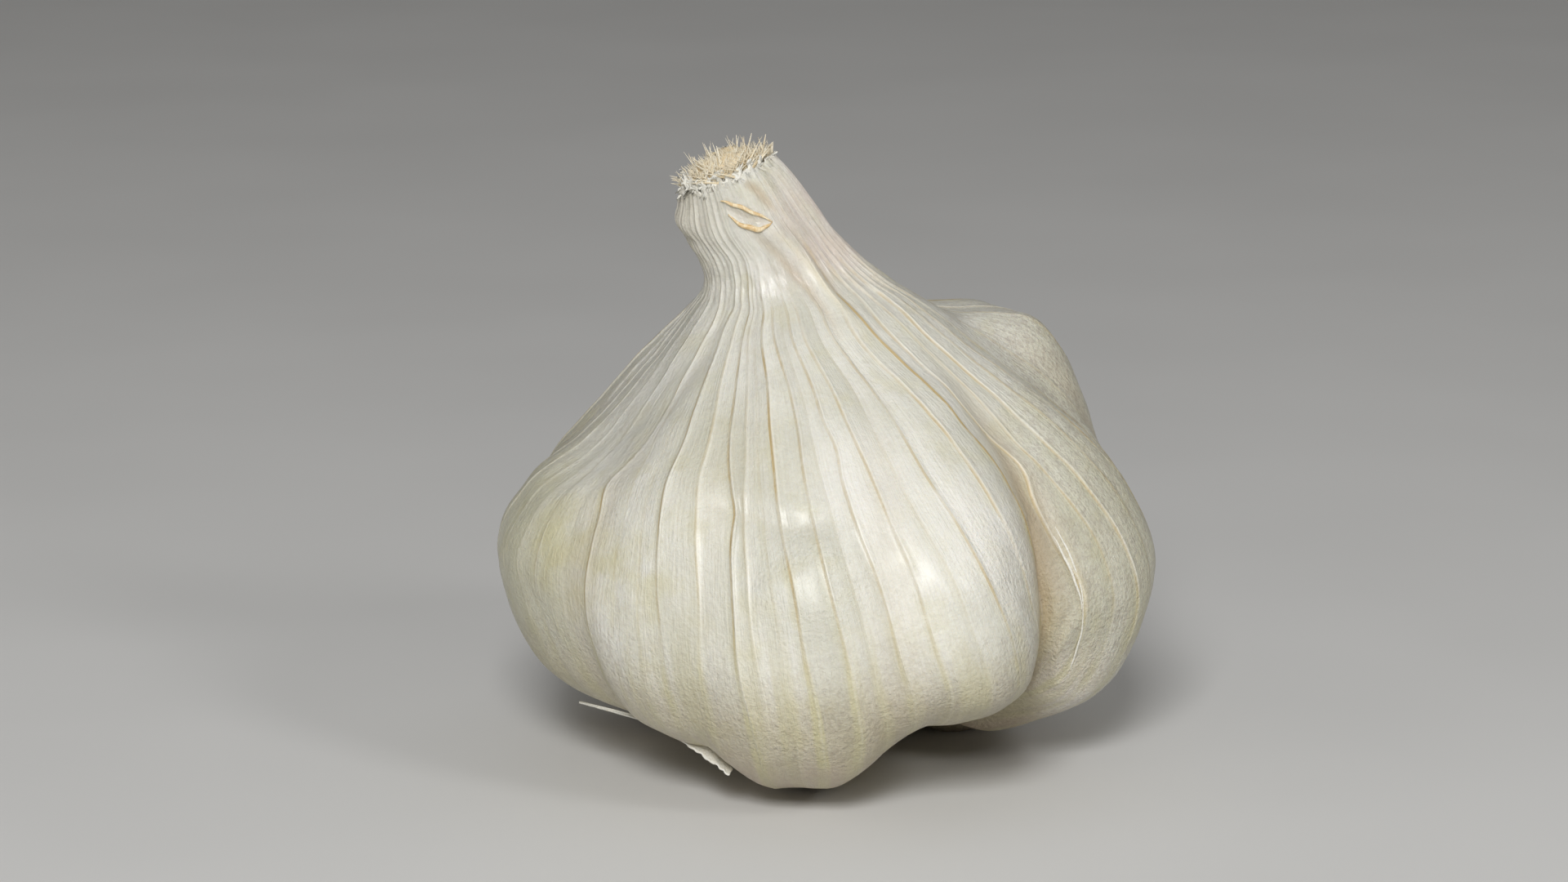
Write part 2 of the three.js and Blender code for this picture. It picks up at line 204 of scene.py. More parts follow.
def skin_normal(azimuth, row):
    up = bare_skin(azimuth, np.minimum(row + 0.05, TOP_ROW)) - bare_skin(azimuth, row - 0.05)
    round_ = bare_skin(azimuth + 0.5, row) - bare_skin(azimuth - 0.5, row)
    return unit(np.cross(round_, up))


def vein_azimuth(u, row):
    """The azimuth of vein number u, or of a place between two, at a row: veins wander and turn towards the neck."""
    k = np.clip(np.floor(u).astype(int), 0, VEIN_COUNT - 1)
    f = u - k
    wander = [vein_wander(k, row), vein_wander((k + 1) % VEIN_COUNT, row)]
    belly = VEINS[k] + (VEINS[k + 1] - VEINS[k]) * f + wander[0] + (wander[1] - wander[0]) * f
    facing, side = np.cos(np.radians(belly)), np.sin(np.radians(belly))
    turn = (FAN_EVEN + FAN_LEAN * side) * ease((row - 3.2) / 4.4) - FAN_BACK * ease((row - 7.8) / 1.6)
    sag = 4.8 * ease((belly + 45) / 15) * ease((95 - belly) / 15) * bell(row - 7.1, 0.5)
    return belly - facing * turn - sag


def vein_wander(k, row):
    a, b, c = (2 * math.pi * draw(k, kind) for kind in (21, 22, 23))
    sway = 0.4 * np.sin(1.15 * row + a) + 0.26 * np.sin(2.9 * row + b) + 0.14 * np.sin(7.3 * row + c)
    sway = 0.85 * sway * ease((row - 0.5) / 2) * (1 - 0.7 * ease((row - 7) / 3))
    for vein, at, degrees, rows in JOGS:
        sway = sway + np.where(k == vein, degrees * bell(row - at, rows), 0)
    return sway


def ripple(points, length, seed, count=9):
    """Smooth unevenness of a wave length in mm, about -1 to 1, at points in space."""
    rng = np.random.default_rng(seed)
    total = np.zeros(points.shape[:-1])
    for _ in range(count):
        way = rng.normal(size=3)
        way *= rng.uniform(0.7, 1.4) * 2 * math.pi / length / np.linalg.norm(way)
        total += np.sin(points @ way + rng.uniform(0, 2 * math.pi))
    return total / math.sqrt(count)


# Folds and furrows of the skin: azimuth and row along each, height, width to its left and right in mm, and how
# brown it is, partly the skin's own brown lines and partly painted shade along the furrows.
FOLDS = [
    (((51.5, 4.9), (53.2, 4.5), (54.6, 4.15), (54.8, 3.95)), 0.35, 0.5, 0.7, 0.1),
    (((54, 4.05), (52.4, 3.85), (52.3, 3.62), (53.5, 3.45), (56, 3.2), (58, 3.05)), 0.6, 0.22, 1.9, 0.0),
    (((46, 4.95), (47.6, 4.4), (49, 3.9), (51.5, 3.3), (54, 2.8)), -1.0, 0.7, 0.5, 0.35),
    (((-24, 5.35), (-14, 5.28), (-7, 5.2), (2, 5.25)), -0.5, 0.9, 0.9, 0.05),
    (((-13, 4.75), (-4, 4.72), (6, 4.66)), 0.55, 3.4, 3.4, 0.0),
    (((17, 4.85), (23, 4.7), (28, 4.5)), 0.45, 2.8, 2.8, 0.0),
    (((17, 9.95), (25, 9.3), (25.5, 8.7), (23.5, 8.15), (22, 7.6), (22, 7.0)), 0.4, 0.75, 0.75, 0.0),
    (((4, 9.9), (8, 9.45), (10.5, 9.0), (12, 8.45), (13.5, 8.1), (12.5, 7.6), (11, 7.1)), -0.25, 0.5, 0.5, 0.35),
    (((30, 10.1), (36, 9.6), (36.5, 9.0), (32.5, 8.4), (28.5, 7.9), (26.5, 7.4)), -0.25, 0.35, 0.35, 0.25),
    (((-100, 9.9), (-80, 9.85), (-64, 9.8), (-51, 9.75), (-44, 9.4)), -0.3, 0.9, 0.9, 0.0),
    (((-105, 10.5), (-75, 10.45), (-50, 10.4)), 0.35, 1.1, 1.1, 0.0),
    (((18, 11.5), (24, 11.0), (32, 10.2)), -0.15, 0.4, 0.4, 0.5),
    (((-11, 10.75), (0, 10.42), (12, 10.13), (19, 10.06)), -0.25, 0.35, 0.35, 0.15),
]


def fold_relief(points, azimuth, row):
    """How far the folds stand off in mm, how close each point is to a sharp raised one, where a highlight is painted,
    and how brown it is, partly painted shade in the furrows.
    """
    height, near, brown = (np.zeros(azimuth.shape) for _ in range(3))
    for path, tall, left, right, stain in FOLDS:
        turns = np.interp(np.linspace(0, len(path) - 1, 60), range(len(path)), [p[0] for p in path])
        rows = np.interp(np.linspace(0, len(path) - 1, 60), range(len(path)), [p[1] for p in path])
        line = bare_skin(turns, rows)
        close = (row > rows.min() - 0.6) & (row < rows.max() + 0.6)
        reach = 15 + np.ptp(turns) / 2
        close &= np.abs(half_turn(azimuth - (turns.max() + turns.min()) / 2)) < reach
        gap = np.linalg.norm(points[close][:, None] - line[None], axis=2)
        nearest = gap.argmin(1)
        distance = gap.min(1)
        side = np.where(half_turn(azimuth[close] - turns[nearest]) < 0, left, right)
        taper = np.sin(math.pi * np.clip((nearest + 1) / 61, 0.02, 0.98)) ** 0.5
        height[close] += tall * taper * bell(distance, side)
        raised = 0 < tall and max(left, right) < 0.8
        near[close] = np.maximum(near[close], raised * taper * bell(distance, 0.4))
        brown[close] = np.maximum(brown[close], stain * taper * bell(distance, 0.45))
    return height, near, brown


def skin_relief(u, row, azimuth, points, pitch, settings):
    """How far the finished skin stands off the smooth one in mm, and facts for its colours."""
    k = np.floor(u).astype(int) % VEIN_COUNT
    after = (k + 1) % VEIN_COUNT
    f = u - np.floor(u)
    nearest = np.where(f < 0.5, k, after)
    off = np.where(f < 0.5, f, 1 - f) * pitch
    below = ease((4.8 - row) / 1.6)
    strength = STRENGTHS[nearest, 0] * (1 - below) + STRENGTHS[nearest, 1] * below
    neck = ease((row - 6.6) / 2.2)
    rooted = ease((row - 0.6) / 1.6)
    width = settings.vein_width / MM * (1 + 1.5 * below) * (1 - 0.35 * neck)
    uneven = 0.75 + 0.25 * np.sin(1.9 * row + 6.3 * draw(nearest, 4))
    front = bell(half_turn(azimuth - 10), 26)
    calm = 1 - neck * (0.5 + 0.35 * front)
    vein = settings.vein_height / MM * strength * uneven * bell(off, width) * (1 - 0.6 * below) * calm
    panel = 0.08 * np.minimum(pitch / 4, 1) * 4 * f * (1 - f)
    # One panel's edge stands a little over the next along each vein.
    edge = settings.panel_step / MM * np.where(draw(np.arange(VEIN_COUNT), 7) > 0.45, 1, -1)
    edge = edge * (0.4 + 0.6 * draw(np.arange(VEIN_COUNT), 6))
    step = edge[k] * np.exp(-f * pitch / 1.3) - edge[after] * np.exp(-(1 - f) * pitch / 1.3)
    step *= 0.5 * np.where(f == 0, 0, 1) * (1 - 0.6 * below) * strength
    waves = 0.16 * ripple(points, 13, 3) + 0.05 * ripple(points, 4.2, 5)
    folds, near, brown = fold_relief(points, azimuth, row)
    torn = torn_patch(azimuth, row)
    stand = rooted * (vein + (panel + step + waves) * (1 - 0.7 * neck))
    stand = stand + neck * neck_pleats(f, azimuth, row) + folds + 0.1 * torn
    facts = {"fold": near, "brown": brown, "torn": torn, "vein": strength * uneven * calm}
    facts["amber"] = STRENGTHS[nearest, 2] * (1 - neck * (0.3 + 0.6 * front))
    return stand, facts


def torn_patch(azimuth, row):
    """The whiter patch low on the front of the neck where a layer ends in a ragged edge."""
    ragged = 7.97 + 0.05 * np.sin(azimuth * 1.7) + 0.035 * np.sin(azimuth * 4.3)
    along = ease((azimuth + 22) / 2) * ease((-4 - azimuth) / 3)
    return along * ease((row - ragged) / 0.07) * ease((9.7 - row) / 1.3)


def neck_pleats(f, azimuth, row):
    """Pleats of the neck: soft on its left, broad and smooth in front, fine on its right wall and at its back."""
    turn = np.radians(azimuth)
    signed = half_turn(azimuth)
    left, right = ease((-8 - signed) / 25), ease((signed - 34) / 10)
    even = np.cos(2 * math.pi * f)
    pleat = left * (0.06 * even + 0.03 * np.sin(37 * turn))
    pleat += right * (0.10 * even + 0.07 * np.cos(4 * math.pi * f) + 0.04 * np.sin(83 * turn + 0.4 * row))
    back = ease((np.abs(signed) - 95) / 20)
    pleat += back * (0.06 * even + 0.07 * np.sin(29 * turn + 1.0))
    fine = 0.07 * np.sin(97 * turn + 0.6 * np.sin(2 * row)) * ease((row - 9.9) / 0.5)
    return pleat + fine * bell(signed + 72, 34) + 0.02 * np.sin(61 * turn)


# ---- shader nodes ----


class Number:
    """A number that changes over a surface. Arithmetic on it adds Math nodes."""

    def __init__(self, finish, socket):
        self.finish, self.socket = finish, socket

    def maths(self, operation, *values):
        return self.finish.node("ShaderNodeMath", {"operation": operation}, dict(enumerate(values)))

    def __add__(self, other):
        return self.maths("ADD", self, other)

    def __sub__(self, other):
        return self.maths("SUBTRACT", self, other)

    def __mul__(self, other):
        return self.maths("MULTIPLY", self, other)

    def __abs__(self):
        return self.maths("ABSOLUTE", self)

    def floor(self):
        return self.maths("FLOOR", self)

    def within(self, low, high, start=0.0, end=1.0):
        """Goes smoothly from start to end as the number goes from low to high."""
        return self.finish.node(
            "ShaderNodeMapRange",
            {"interpolation_type": "SMOOTHSTEP"},
            {0: self, 1: low, 2: high, 3: start, 4: end},
        )


class Finish:
    """A material built of procedural nodes round one surface shader."""

    def __init__(self, name, **constants):
        self.material = bpy.data.materials.new(name)
        self.material.use_nodes = True
        self.tree = self.material.node_tree
        self.surface = self.tree.nodes["Principled BSDF"]
        self.tone = None
        # The place on the piece in mm, as a vector.
        coordinates = self.node("ShaderNodeTexCoord", output="Object")
        self.place = self.node("ShaderNodeVectorMath", {"operation": "SCALE"}, {0: coordinates, "Scale": 1 / MM})
        for socket, value in constants.items():
            self.surface.inputs[socket.replace("_", " ")].default_value = value

    def node(self, kind, settings=None, inputs=None, output=0):
        made = self.tree.nodes.new(kind)
        for key, value in (settings or {}).items():
            setattr(made, key, value)
        for key, value in (inputs or {}).items():
            self.plug(value, made.inputs[key])
        return Number(self, made.outputs[output])

    def plug(self, value, socket):
        if isinstance(value, Number):
            self.tree.links.new(value.socket, socket)
        elif hasattr(value, "__len__") and len(value) == 3 and len(socket.default_value) == 4:
            socket.default_value = (*value, 1)
        else:
            socket.default_value = value

    def done(self, **values):
        """Plugs in the base colour and what else varies, and gives the material."""
        for socket, value in {"Base_Color": self.tone, **values}.items():
            self.plug(value, self.surface.inputs[socket.replace("_", " ")])
        return self.material

    def mix(self, factor, one, two, blend="MIX"):
        settings = {"data_type": "RGBA", "blend_type": blend, "clamp_factor": True}
        return self.node("ShaderNodeMix", settings, {0: factor, 6: one, 7: two}, output=2)

    def tint(self, factor, colour):
        """Mixes a colour into the base colour made so far."""
        self.tone = self.mix(factor, self.tone, colour)

    def stain(self, factor, colour):
        """Multiplies the base colour made so far by a colour, for real stains and for painted shade."""
        self.tone = self.mix(factor, self.tone, colour, "MULTIPLY")

    def parts(self, vector):
        split = self.node("ShaderNodeSeparateXYZ", inputs={0: vector})
        return [Number(self, socket) for socket in split.socket.node.outputs]

    def vector(self, x=0.0, y=0.0, z=0.0):
        return self.node("ShaderNodeCombineXYZ", inputs={0: x, 1: y, 2: z})

    def noise(self, scale, detail, roughness=0.5, at=None):
        """Noise over the place on the piece, or over another vector."""
        inputs = {"Vector": at or self.place, "Scale": scale, "Detail": detail, "Roughness": roughness}
        return self.node("ShaderNodeTexNoise", inputs=inputs)

    def attribute(self, name):
        return self.node("ShaderNodeAttribute", {"attribute_name": name}, output="Fac")

    def bump(self, height, distance, strength=1.0, below=None):
        inputs = {"Height": height, "Distance": distance, "Strength": strength}
        if below:
            inputs["Normal"] = below
        return self.node("ShaderNodeBump", inputs=inputs)

    def patch(self, centre, radius, soft=0.6):
        """A soft round patch about a point in mm: 1 inside, 0 outside."""
        away = self.node("ShaderNodeVectorMath", {"operation": "DISTANCE"}, {0: self.place, 1: centre}, output="Value")
        return away.within(radius * (1 - soft), radius, 1.0, 0.0)


def papery_skin(settings):
    """Dry garlic skin: cream veins edged with amber, fine fibres along them, grey and pink tints, satin gloss, with
    painted shade and painted highlights in its colour.
    """
    skin = Finish(
        "papery_skin", IOR=1.45, Subsurface_Weight=0.12, Subsurface_Scale=0.002, Coat_Weight=0.4, Coat_Roughness=0.3
    )
    skin.surface.inputs["Subsurface Radius"].default_value = (1.0, 0.75, 0.45)
    x, y, z = skin.parts(skin.place)
    across, along, _ = skin.parts(skin.node("ShaderNodeTexCoord", output="UV"))
    u, row = across * VEIN_COUNT, along * TOP_ROW
    number = (u + 0.5).floor()
    off = (u - number) * skin.attribute("pitch")
    fold, groove, brown = skin.attribute("fold"), skin.attribute("groove"), skin.attribute("brown")
    strong, stained = skin.attribute("vein"), skin.attribute("amber")

    # Tones of the skin itself, then patches of painted shade and painted light, and painted shade in the grooves.
    cloud = skin.noise(0.09, 3)
    panel = skin.noise(1.0, 1, at=skin.vector(u.floor() * 3.7, row * 0.35))
    # Painted shade: on wide panels the skin darkens across each panel towards the next vein.
    painted_panel_shade = (u - u.floor()).within(0.15, 1.0) * skin.attribute("pitch").within(0.8, 2.0)
    ground = cloud * 0.5 + panel * 0.7 - painted_panel_shade * 0.12
    skin.tone = skin.mix(ground.within(0.35, 0.75), settings.shade_colour, settings.skin_colour)
    fleck, spots = skin.noise(2.2, 2, 0.6), skin.noise(0.8, 4, 0.7)
    right = x.within(14, 20)
    dull = right * 0.6 + z.within(22, 10) * 0.4 + x.within(-14, -22) * 0.1 + y.within(-8, 2) * 0.4
    skin.tint(spots.within(0.47, 0.62) * (dull * 0.45 + 0.08), settings.fleck_colour)
    skin.tint(fleck.within(0.5, 0.62) * (dull * 0.6 + 0.08), settings.fleck_colour)
    tinge = skin.noise(0.3, 3)
    skin.tint(tinge.within(0.5, 0.7) * 0.25, settings.olive_colour)
    olive = skin.patch((-24, -16, 24), 7) + skin.patch((-18.6, -22.5, 23), 6)
    skin.tint(olive * tinge.within(0.3, 0.6) * 0.5, settings.olive_colour)
    blush = z.within(9, 3) * 0.6 + row.within(7.6, 9) * x.within(-7, -1) * 0.7
    skin.tint(blush * skin.noise(0.25, 2).within(0.25, 0.6, 0.4, 1.0), settings.blush_colour)
    # Painted shade: darker towards the bottom, except on the right clove.
    skin.stain(z.within(17, 9) * x.within(24, 19), (0.85, 0.80, 0.70))
    # Painted light: a paler patch low on the right of the front clove.
    skin.tint(skin.patch((22.6, -14, 9), 8, 0.8) * 0.6, (0.84, 0.77, 0.68))
    # Painted shade: the far left side darker.
    skin.stain(x.within(-19, -28), (0.86, 0.85, 0.75))
    # Painted shade: a darker patch high on the left of the front.
    skin.stain(skin.patch((-10, -22, 35), 10, 0.8), (0.88, 0.87, 0.82))
    # Painted light: paler patches on the front clove's upper belly and on the right of the front.
    pale = skin.patch((4, -23, 33), 9, 0.8) * 0.6 + skin.patch((13, -22, 26), 9, 0.8) * 0.5
    skin.tint(pale, (0.90, 0.88, 0.83))
    # Painted shade: the right side darker above its foot.
    skin.stain(x.within(15, 25) * row.within(2.6, 3.8), (0.90, 0.89, 0.82))
    # Painted shade: the front clove's lower right darker.
    skin.stain(x.within(-6, 9) * x.within(23, 18) * z.within(20, 12), (0.80, 0.78, 0.74))
    # Painted shade on the left of the neck.
    skin.stain(x.within(-8, -14) * row.within(7.4, 8.6), (0.84, 0.81, 0.77))
    # Painted shade in the grooves between the cloves.
    skin.tint(groove * 0.95, (0.46, 0.38, 0.26))

    # Below the belly the veins spread into soft bands of tan and olive.
    band = skin.noise(1.0, 2, at=skin.vector(u * 1.1, row * 0.3))
    skin.tint(band.within(0.45, 0.62) * z.within(24, 12) * 0.4, settings.olive_colour)

    # Veins: a painted highlight along the crest, with a thin line of amber beside it that comes and goes.
    fickle = skin.noise(1.0, 3, at=skin.vector(number * 5.3, row * 2.2))
    halo = abs(off + 0.3).within(0.1, 0.8, 1.0, 0.0) * fickle.within(0.38, 0.62) * row.within(6.6, 5.2) * stained
    skin.tint(halo * 0.35, settings.olive_colour)
    broad = z.within(21, 7, 0.0, 0.3)
    amber = abs(off + 0.13).within(broad + 0.06, broad * 1.8 + 0.2, 1.0, 0.0)
    amber = amber * fickle.within(0.35, 0.62, 0.4, 1.3) * row.within(1.2, 4.2, 0.3, 1.0)
    amber = amber * stained * (strong * 0.8 + 0.2) * row.within(9.6, 8.6, 0.3, 1.0)
    skin.tint(amber, skin.mix(z.within(24, 12), settings.amber_colour, settings.olive_colour))
    # Painted highlight: a paler line along one side of each vein's crest.
    crest = abs(off - 0.05).within(0.03, 0.2, 1.0, 0.0) * strong * row.within(2.8, 4.3, 0.12, 1.0)
    skin.tint(crest * 0.45, settings.crest_colour)
    # Painted highlight along the sharp raised folds.
    skin.tint(fold * 0.45, (0.84, 0.76, 0.55))
    # Brown along the folds and furrows: partly the skin's own brown lines, partly painted shade in the furrows.
    skin.tint(brown, (0.44, 0.29, 0.13))
    skin.tint(skin.attribute("torn") * 0.6, (0.90, 0.88, 0.82))

    # Fine fibres run along the veins, finer still across them.
    fibre = skin.noise(1.0, 4, 0.6, at=skin.vector(u * 15, row * 2.6, z * 0.1))
    cross = skin.noise(1.0, 3, 0.6, at=skin.vector(u * 7, row * 21))
    skin.stain(fibre.within(0.62, 0.36) * 0.16 + cross.within(0.6, 0.35) * 0.08, (0.72, 0.68, 0.58))
    crinkle, grain = skin.noise(0.55, 4, 0.55), skin.noise(2.6, 3, 0.6)
    sheen = skin.patch((-1.5, -26, 23.4), 8, 0.8) + skin.patch((14.2, -22, 23.4), 7, 0.8)
    creped = z.within(22, 9, 0.25, 1.0) * row.within(0.5, 2.0) + right * 0.4 + sheen * 0.6
    bump = skin.bump(crinkle * (sheen + 1), 0.0005, 0.25)
    bump = skin.bump(grain * creped, 0.00028, 0.8, bump)
    bump = skin.bump(fibre * 0.6 + cross * 0.4, 0.00024, 0.7, bump)
    bump = skin.bump(fleck, 0.00008, 0.4, bump)
    rough = crinkle.within(0.3, 0.7, 0.36, 0.48) + fibre * 0.1 + amber * 0.08 - sheen * 0.12
    return skin.done(Roughness=rough, Normal=bump)


def torn_paper(settings):
    """The whiter inside and edges of torn skin, straw-coloured where it is thick."""
    paper = Finish("torn_paper", IOR=1.45)
    streak = paper.noise(1.3, 3, 0.6)
    spot = paper.noise(4.5, 3, 0.6)
    paper.tone = paper.mix(streak.within(0.4, 0.7), settings.skin_colour, settings.crest_colour)
    paper.tint(spot.within(0.55, 0.75) * 0.5, settings.amber_colour)
    bump = paper.bump(spot, 0.0002, 0.6)
    return paper.done(Roughness=streak.within(0.3, 0.7, 0.4, 0.62), Normal=bump)


def tear_lip(settings):
    """The dried amber edge round the tear in the neck."""
    lip = Finish("tear_lip", IOR=1.45)
    streak = lip.noise(2.2, 3, 0.6)
    lip.tone = lip.mix(streak.within(0.35, 0.7), (0.66, 0.46, 0.22), (0.86, 0.76, 0.54))
    return lip.done(Roughness=streak.within(0.3, 0.7, 0.35, 0.55), Normal=lip.bump(streak, 0.0001))


def cut_fibre(settings):
    """Dry fibres of the cut stalk: tan at their roots, straw and then nearly white at their torn ends."""
    straw = Finish("cut_fibre", IOR=1.4)
    tip, tint = straw.attribute("tip"), straw.attribute("tint")
    patch = straw.noise(0.7, 2)
    grain = straw.noise(7, 3, 0.6)
    straw.tone = straw.mix((tint * 0.6 + patch * 0.6).within(0.35, 0.85), settings.tan_colour, settings.straw_colour)
    straw.tint(tip.within(0.45, 1.0) * 0.6, (0.86, 0.82, 0.70))
    straw.stain(grain.within(0.6, 0.4) * 0.4, (0.70, 0.58, 0.42))
    return straw.done(Roughness=grain.within(0.3, 0.7, 0.55, 0.8), Normal=straw.bump(grain, 0.0001))


def dry_root(settings):
    """The corky root plate and its cut roots: brown, with soil in the hollows and pale cut ends."""
    cork = Finish("dry_root", IOR=1.4)
    tip, tint = cork.attribute("tip"), cork.attribute("tint")
    lump = cork.noise(0.8, 4, 0.65)
    grain = cork.noise(3.4, 4, 0.65)
    cork.tone = cork.mix((lump + tint * 0.4).within(0.35, 0.95), settings.plate_colour, settings.root_colour)
    cork.tint(grain.within(0.5, 0.72) * 0.6, (0.22, 0.15, 0.09))
    cork.tint(tip.within(0.8, 1.0) * 0.6, (0.70, 0.60, 0.44))
    bump = cork.bump(grain, 0.0003, 0.7, cork.bump(lump, 0.0006, 0.6))
    return cork.done(Roughness=grain.within(0.3, 0.7, 0.7, 0.92), Normal=bump)


def plain_floor():
    floor = Finish("plain_floor", IOR=1.4)
    fine = floor.noise(0.02, 2)
    floor.tone = floor.mix(fine, (0.66, 0.655, 0.64), (0.70, 0.695, 0.68))
    return floor.done(Roughness=fine.within(0.3, 0.7, 0.62, 0.7))


# ---- making pieces ----


def select(*pieces):
    """Makes the pieces the whole selection, the first of them active."""
    bpy.ops.object.select_all(action="DESELECT")
    for piece in pieces:
        piece.select_set(True)
    bpy.context.view_layer.objects.active = pieces[0]


def added(name, operator, **settings):
    """A new primitive, alone in the selection."""
    bpy.ops.object.select_all(action="DESELECT")
    operator(**settings)
    piece = bpy.context.object
    piece.name = piece.data.name = name
    return piece


def vertex_places(piece):
    places = np.empty(len(piece.data.vertices) * 3, np.float32)
    piece.data.vertices.foreach_get("co", places)
    return places.reshape(-1, 3).astype(float)


def place_vertices(piece, places):
    """Moves a piece's vertices to places in mm about the root plate's middle."""
    if not np.isfinite(places).all():
        raise RuntimeError(f"{piece.name} has a vertex without a place")
    piece.data.vertices.foreach_set("co", ((places + CENTRE) * MM).astype(np.float32).ravel())
    piece.data.update()


def set_attribute(piece, name, values):
    layer = piece.data.attributes.new(name, "FLOAT", "POINT")
    layer.data.foreach_set("value", np.full(len(layer.data), values, np.float32))


def copied(pattern, places, tip, tint):
    """A copy of a pattern with its vertices at other places, and the facts that its colours need."""
    copy = pattern.copy()
    copy.data = pattern.data.copy()
    bpy.context.collection.objects.link(copy)
    place_vertices(copy, places)
    set_attribute(copy, "tip", tip)
    set_attribute(copy, "tint", tint)
    return copy


def apply_modifier(piece, kind, **settings):
    select(piece)
    modifier = piece.modifiers.new(kind.title(), kind)
    for key, value in settings.items():
        setattr(modifier, key, value)
    bpy.ops.object.modifier_apply(modifier=modifier.name)


def in_edit_mode(piece, *steps):
    """Runs edit operators on the whole piece, each given as the operator and its settings."""
    select(piece)
    bpy.ops.object.mode_set(mode="EDIT")
    bpy.ops.mesh.select_all(action="SELECT")
    for operator, settings in steps:
        operator(**settings)
    bpy.ops.object.mode_set(mode="OBJECT")


def finished(piece, material, slot, *nodes):
    """Gives a piece its material, hangs it on the root body and hides the CAD nodes that it replaces. The slot is not
    used.
    """
    select(piece)
    bpy.ops.object.shade_smooth()
    piece.data.materials.clear()
    piece.data.materials.append(material)
    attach(piece, "root")
    if nodes:
        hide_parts(*nodes)


def joined(name, pieces):
    select(*pieces)
    bpy.ops.object.join()
    piece = bpy.context.object
    piece.name = piece.data.name = name
    return piece


def sheet(name, columns, rows, shape, thickness, closed=False):
    """A thin sheet: a grid whose s and t, each 0 to 1, a shape turns into places in mm, then thickened."""
    piece = added(name, bpy.ops.mesh.primitive_grid_add, x_subdivisions=columns, y_subdivisions=rows, size=2)
    st = (vertex_places(piece)[:, :2] + 1) / 2
    place_vertices(piece, shape(st[:, 0], st[:, 1]))
    steps = [(bpy.ops.mesh.remove_doubles, {"threshold": 1e-7})] if closed else []
    in_edit_mode(piece, *steps, (bpy.ops.mesh.normals_make_consistent, {"inside": False}))
    apply_modifier(piece, "SOLIDIFY", thickness=thickness * MM, offset=0.0)
    return piece


def cut_point(azimuth, radius, lift):
    """Places at the neck's cut, at a radius from its middle and a height above or below it."""
    x, y, _, z = NECK[-1]
    across, back = radius * np.sin(np.radians(azimuth)), radius * np.cos(np.radians(azimuth))
    return np.stack([x + across - RIM_SLOPE * lift, y - back, z + RIM_SLOPE * across + lift], -1)


def scene_settings():
    return bpy.context.scene.garlic_skin, bpy.context.scene.garlic_stalk, bpy.context.scene.garlic_studio


def made_material(maker, *settings):
    """The material named after its maker, made the first time that it is asked for."""
    return bpy.data.materials.get(maker.__name__) or maker(*settings)


# ---- settings ----


def colour(name, description, default):
    return bpy.props.FloatVectorProperty(
        name=name, description=description, subtype="COLOR", size=3, min=0, max=1, default=default
    )


def length(name, description, default):
    return bpy.props.FloatProperty(
        name=name, description=description, unit="LENGTH", subtype="DISTANCE", min=0, default=default, precision=5
    )


def count(name, description, default, least=1):
    return bpy.props.IntProperty(name=name, description=description, min=least, default=default)


def power(name, description, default):
    return bpy.props.FloatProperty(name=name, description=description, unit="POWER", min=0, default=default)


class SkinSettings(bpy.types.PropertyGroup):
    vein_height: length("Vein height", "How far a vein stands off the skin", 0.0002)
    vein_width: length("Vein width", "Half the width of a vein", 0.0002)
    panel_step: length("Panel step", "How far one panel's edge stands over the next along a vein", 0.00014)
    tear_thickness: length("Torn skin", "Thickness of torn strips of skin", 0.00014)
    skin_colour: colour("Skin", "The skin where it is clean and thick", (0.80, 0.785, 0.71))
    shade_colour: colour("Thin skin", "The skin where the clove shows through", (0.63, 0.62, 0.53))
    # This colour is also the painted highlight along each vein's crest.
    crest_colour: colour("Vein", "The pale crest of a vein", (0.88, 0.85, 0.76))
    amber_colour: colour("Vein edge", "The amber line beside a vein", (0.52, 0.40, 0.20))
    fleck_colour: colour("Flecks", "Grey-pink flecks, mostly on the right clove", (0.50, 0.46, 0.41))
    blush_colour: colour("Blush", "Pink-brown tint near the base and on the neck", (0.66, 0.56, 0.51))
    olive_colour: colour("Olive", "Yellow-green tint where the clove shows through", (0.60, 0.56, 0.34))


class StalkSettings(bpy.types.PropertyGroup):
    fibres: count("Fibres", "How many fibres stand out of the cut", 430)
    frayed: count("Frayed edge", "How many fibres stand out of the rim round the cut", 150, least=0)
    roots: count("Roots", "How many cut roots there are", 110)
    tan_colour: colour("Tan", "The fibres' darker tone", (0.82, 0.69, 0.46))
    straw_colour: colour("Straw", "The fibres' lighter tone", (0.94, 0.88, 0.71))
    plate_colour: colour("Root plate", "The corky plate", (0.36, 0.27, 0.17))
    root_colour: colour("Roots", "The dry roots", (0.56, 0.45, 0.30))


class StudioSettings(bpy.types.PropertyGroup):
    key_power: power("Key light", "Power of the main light", 4.15)
    side_power: power("Side light", "Power of the light from the right", 0.9)
    fill_power: power("Fill light", "Power of the light from the left, and half that of the one above", 0.35)
    camera_distance: length("Camera distance", "From the camera to the bulb", 0.45)
    camera_elevation: bpy.props.FloatProperty(
        name="Camera elevation", description="Angle above the surface", subtype="ANGLE", default=math.radians(13)
    )


# ---- one operator for each piece ----


